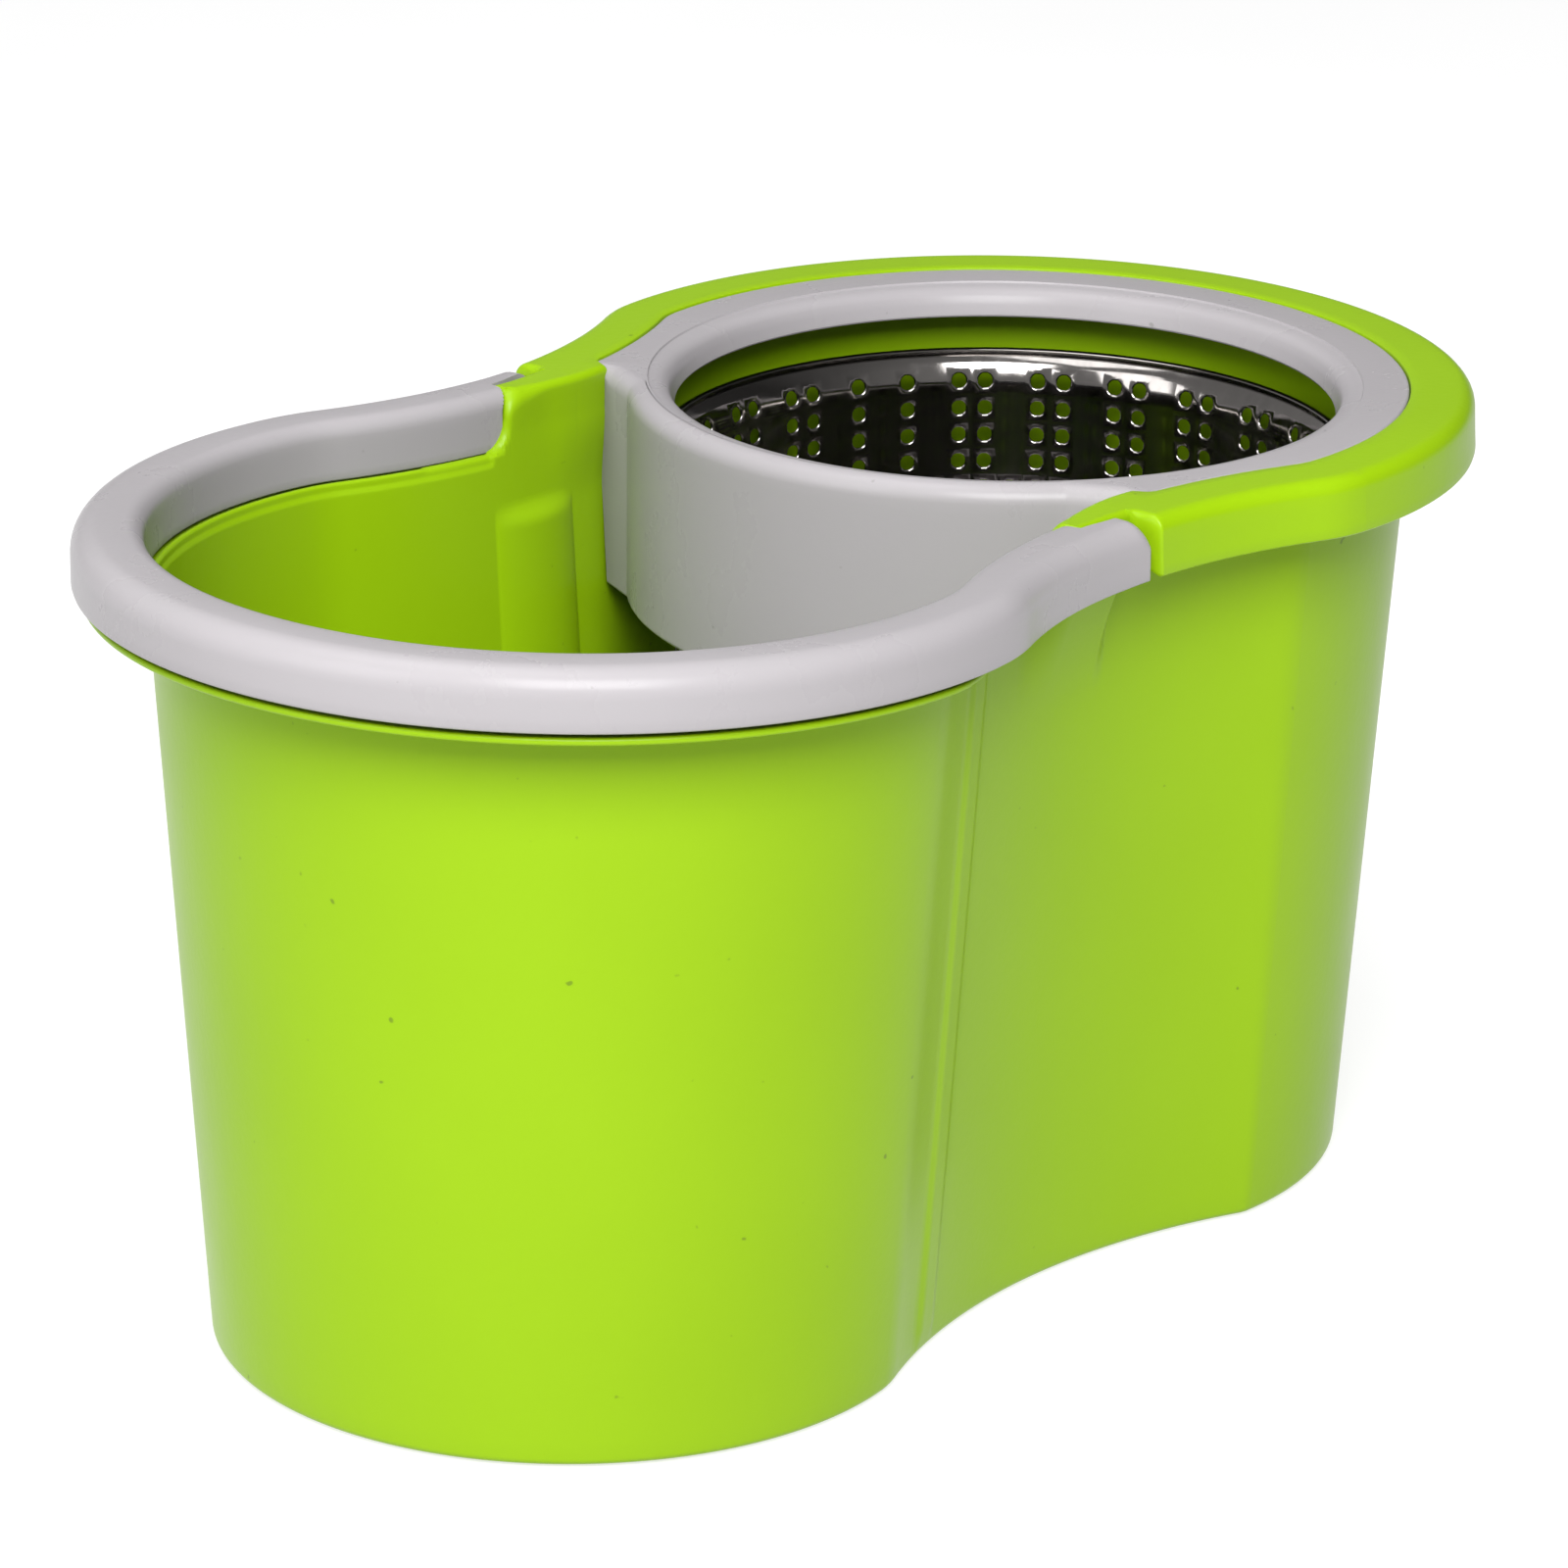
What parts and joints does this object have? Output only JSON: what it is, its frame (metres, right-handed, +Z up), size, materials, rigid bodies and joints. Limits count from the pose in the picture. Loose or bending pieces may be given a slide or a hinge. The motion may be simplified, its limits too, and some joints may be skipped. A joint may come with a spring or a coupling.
{
  "type": "spin mop bucket",
  "caption": "Two-lobed spin mop bucket: wash basin, splash guard, perforated spin basket on a spindle, and a carry handle folded over the rim.",
  "frame": {"origin": "on the floor under the middle of the bounding box", "axes": "+Z up; +X along the length, from the wash basin to the spin basket; +Y across"},
  "size_m": [0.467, 0.2748, 0.238],
  "materials": {
    "body": "moulded lime-green polypropylene, semi-gloss",
    "handle": "moulded warm-grey polypropylene, semi-gloss",
    "guard": "moulded warm-grey polypropylene, semi-gloss",
    "pin": "moulded acetal",
    "basket": "polished perforated stainless sheet",
    "hub": "moulded grey plastic",
    "inner_plastic": "moulded off-white plastic",
    "bush": "sintered bronze",
    "shaft": "ground stainless",
    "fastener": "stainless pan-head screws",
    "foot": "black rubber"
  },
  "bodies": {
    "bucket": {"bucket_body": "body", "handle_pin_near": "pin", "handle_pin_far": "pin", "spindle_post": "inner_plastic", "spindle_shaft": "shaft", "thrust_washer": "inner_plastic", "post_screw_1": "fastener", "post_screw_2": "fastener", "post_screw_3": "fastener", "post_screw_4": "fastener", "rubber_foot_1": "foot", "rubber_foot_2": "foot", "rubber_foot_3": "foot", "rubber_foot_4": "foot"},
    "handle": {"carry_handle": "handle"},
    "guard": {"splash_guard": "guard"},
    "basket": {"basket_wall": "basket", "basket_floor": "basket", "basket_hub": "hub", "hub_carrier": "inner_plastic", "hub_bush_lower": "bush", "hub_bush_upper": "bush", "retaining_clip": "shaft", "hub_screw_1": "fastener", "hub_screw_2": "fastener", "hub_screw_3": "fastener"}
  },
  "joints": [
    {"name": "handle_pivot", "type": "hinge", "parent": "bucket", "child": "handle", "pos_m": [-0.0035, 0, 0.226], "axis": [0, 1, 0], "range_deg": [0, 90]},
    {"name": "basket_spin", "type": "hinge", "parent": "bucket", "child": "basket", "pos_m": [0.0954, 0, 0.119], "axis": [0, 0, 1], "continuous": true},
    {"name": "guard_lift", "type": "slide", "parent": "bucket", "child": "guard", "axis": [0, 0, 1], "range_m": [0, 0.08]}
  ]
}
